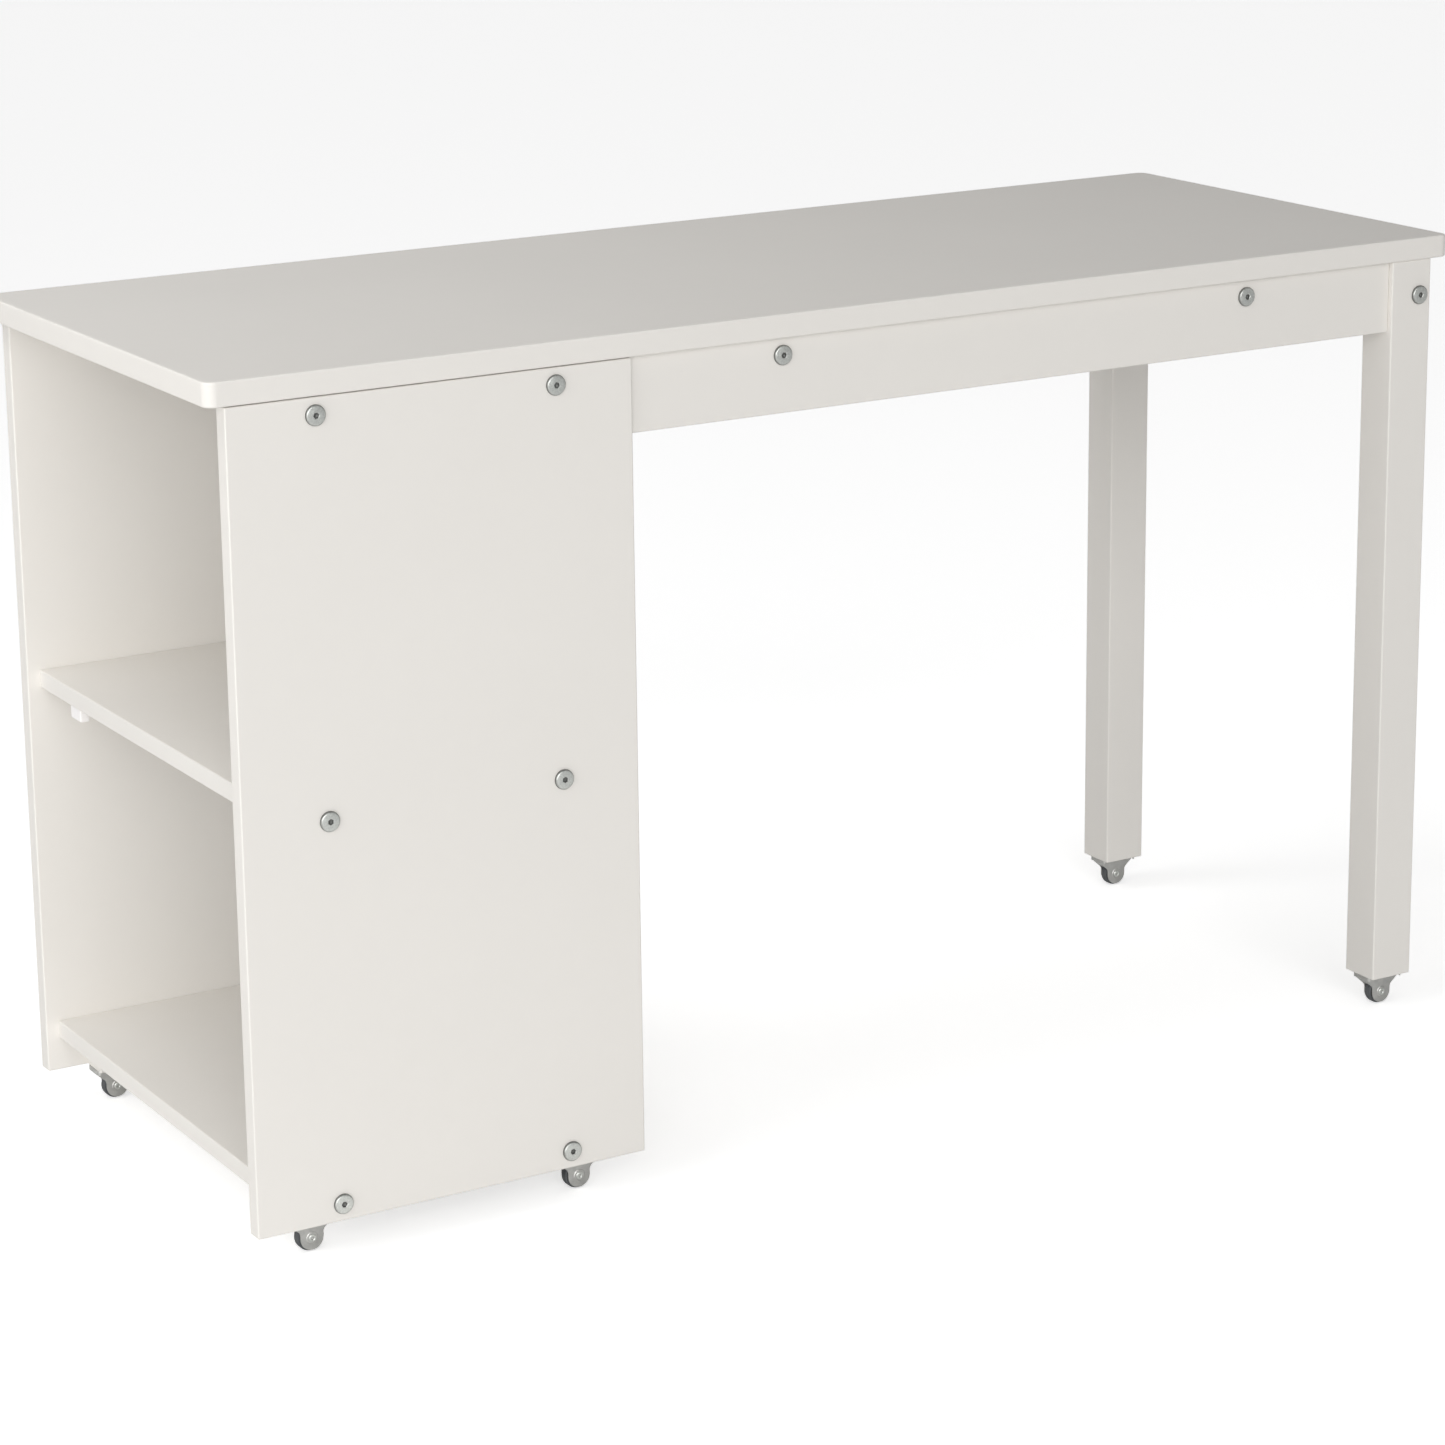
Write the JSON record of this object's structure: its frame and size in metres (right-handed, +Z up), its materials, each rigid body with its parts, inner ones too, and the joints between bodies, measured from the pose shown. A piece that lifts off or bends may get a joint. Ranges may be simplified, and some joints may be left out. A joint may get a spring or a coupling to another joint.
{
  "type": "sewing table",
  "caption": "White painted work table with an open shelf unit at its left end, two square legs at its right end, bolted rails and small fixed casters.",
  "frame": {"origin": "middle of the floor area, on the floor under the wheels", "axes": "+X along the length from the shelf unit to the legs, +Y across the depth away from the near long side, +Z up"},
  "size_m": [1.22, 0.468, 0.7305],
  "materials": {
    "white_paint": "satin white paint over smooth board, slightly softened edges",
    "zinc_bolt": "bright zinc plate, dull, lightly tumbled",
    "zinc_plate": "grey zinc-plated pressed sheet",
    "grey_wheel": "dark grey moulded plastic",
    "white_plastic": "white moulded plastic"
  },
  "bodies": {
    "table": {"bolt_far_apron_left": "zinc_bolt", "bolt_far_apron_right": "zinc_bolt", "bolt_far_bottom_left": "zinc_bolt", "bolt_far_bottom_right": "zinc_bolt", "bolt_far_leg": "zinc_bolt", "bolt_far_middle_left": "zinc_bolt", "bolt_far_middle_right": "zinc_bolt", "bolt_far_top_left": "zinc_bolt", "bolt_far_top_right": "zinc_bolt", "bolt_near_apron_left": "zinc_bolt", "bolt_near_apron_right": "zinc_bolt", "bolt_near_bottom_left": "zinc_bolt", "bolt_near_bottom_right": "zinc_bolt", "bolt_near_leg": "zinc_bolt", "bolt_near_middle_left": "zinc_bolt", "bolt_near_middle_right": "zinc_bolt", "bolt_near_top_left": "zinc_bolt", "bolt_near_top_right": "zinc_bolt", "bottom_rail_left": "white_paint", "bottom_rail_right": "white_paint", "bottom_shelf": "white_paint", "caster_axle_far_left": "zinc_bolt", "caster_axle_far_leg": "zinc_bolt", "caster_axle_far_right": "zinc_bolt", "caster_axle_near_left": "zinc_bolt", "caster_axle_near_leg": "zinc_bolt", "caster_axle_near_right": "zinc_bolt", "caster_block_far_left": "white_paint", "caster_block_far_right": "white_paint", "caster_block_near_left": "white_paint", "caster_block_near_right": "white_paint", "caster_bracket_far_left": "zinc_plate", "caster_bracket_far_leg": "zinc_plate", "caster_bracket_far_right": "zinc_plate", "caster_bracket_near_left": "zinc_plate", "caster_bracket_near_leg": "zinc_plate", "caster_bracket_near_right": "zinc_plate", "desk_rail_left": "white_paint", "desk_rail_right": "white_paint", "far_apron": "white_paint", "far_leg": "white_paint", "far_side_panel": "white_paint", "middle_rail_left": "white_paint", "middle_rail_right": "white_paint", "middle_shelf": "white_paint", "near_apron": "white_paint", "near_leg": "white_paint", "near_side_panel": "white_paint", "shelf_stop": "white_plastic", "side_apron": "white_paint", "tabletop": "white_paint", "top_rail_left": "white_paint", "top_rail_right": "white_paint"},
    "wheel_far_left": {"caster_wheel_far_left": "grey_wheel"},
    "wheel_far_leg": {"caster_wheel_far_leg": "grey_wheel"},
    "wheel_far_right": {"caster_wheel_far_right": "grey_wheel"},
    "wheel_near_left": {"caster_wheel_near_left": "grey_wheel"},
    "wheel_near_leg": {"caster_wheel_near_leg": "grey_wheel"},
    "wheel_near_right": {"caster_wheel_near_right": "grey_wheel"}
  },
  "joints": [
    {"name": "roll_far_left", "type": "hinge", "parent": "table", "child": "wheel_far_left", "pos_m": [-0.5375, 0.2025, 0.012], "axis": [0, 1, 0], "continuous": true},
    {"name": "roll_far_leg", "type": "hinge", "parent": "table", "child": "wheel_far_leg", "pos_m": [0.568, 0.211, 0.012], "axis": [0, 1, 0], "continuous": true},
    {"name": "roll_far_right", "type": "hinge", "parent": "table", "child": "wheel_far_right", "pos_m": [-0.29, 0.2025, 0.012], "axis": [0, 1, 0], "continuous": true},
    {"name": "roll_near_left", "type": "hinge", "parent": "table", "child": "wheel_near_left", "pos_m": [-0.5375, -0.2025, 0.012], "axis": [0, 1, 0], "continuous": true},
    {"name": "roll_near_leg", "type": "hinge", "parent": "table", "child": "wheel_near_leg", "pos_m": [0.568, -0.211, 0.012], "axis": [0, 1, 0], "continuous": true},
    {"name": "roll_near_right", "type": "hinge", "parent": "table", "child": "wheel_near_right", "pos_m": [-0.29, -0.2025, 0.012], "axis": [0, 1, 0], "continuous": true}
  ]
}
